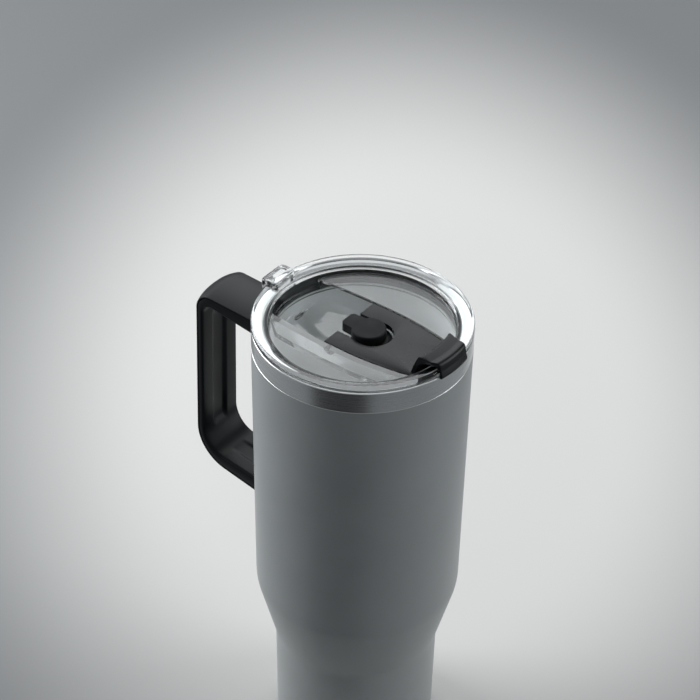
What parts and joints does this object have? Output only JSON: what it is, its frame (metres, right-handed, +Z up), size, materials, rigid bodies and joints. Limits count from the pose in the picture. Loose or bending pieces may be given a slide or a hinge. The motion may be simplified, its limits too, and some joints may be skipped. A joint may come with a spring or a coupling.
{
  "type": "insulated travel mug",
  "caption": "Double-walled steel travel mug with a side handle, a stepped narrow base and a clear press-in lid with a hinged flap and a straw-hole plug.",
  "frame": {"origin": "on the mug's axis at the underside of its base", "axes": "+Z up along the mug's axis; the handle is towards -X, the drinking side and the flap's hook towards +X; right side is -Y seen with the handle behind"},
  "size_m": [0.14, 0.1, 0.2334],
  "materials": {
    "body_paint": "satin grey powder coat, bare brushed steel band at the mouth",
    "brushed_steel": "brushed",
    "screw_steel": "machined",
    "solder_glass": "opaque grey solder glass",
    "handle_plastic": "fine satin moulding",
    "cover_plastic": "satin",
    "clear_plastic": "clear, polished",
    "black_silicone": "matte silicone",
    "flap_plastic": "fine satin moulding"
  },
  "bodies": {
    "mug": {"outer_shell": "body_paint", "inner_liner": "brushed_steel", "base_cover": "brushed_steel", "vacuum_seal": "solder_glass", "getter_pellet": "screw_steel", "handle_frame": "handle_plastic", "handle_cover": "cover_plastic", "bracket_upper": "brushed_steel", "bracket_lower": "brushed_steel", "screw_upper_right": "screw_steel", "screw_upper_left": "screw_steel", "screw_lower_right": "screw_steel", "screw_lower_left": "screw_steel"},
    "lid": {"lid_body": "clear_plastic", "lid_gasket": "black_silicone", "hinge_pin_left": "flap_plastic", "hinge_pin_right": "flap_plastic"},
    "flap": {"flap": "flap_plastic", "sip_seal": "black_silicone"},
    "plug": {"straw_plug": "black_silicone"}
  },
  "joints": [
    {"name": "lid_lift", "type": "slide", "parent": "mug", "child": "lid", "axis": [0, 0, 1], "range_m": [0, 0.045]},
    {"name": "flap_hinge", "type": "hinge", "parent": "lid", "child": "flap", "pos_m": [-0.0045, 0, 0.2204], "axis": [0, -1, 0], "range_deg": [0, 145]},
    {"name": "plug_lift", "type": "slide", "parent": "lid", "child": "plug", "axis": [0, 0, 1], "range_m": [0, 0.03]}
  ]
}
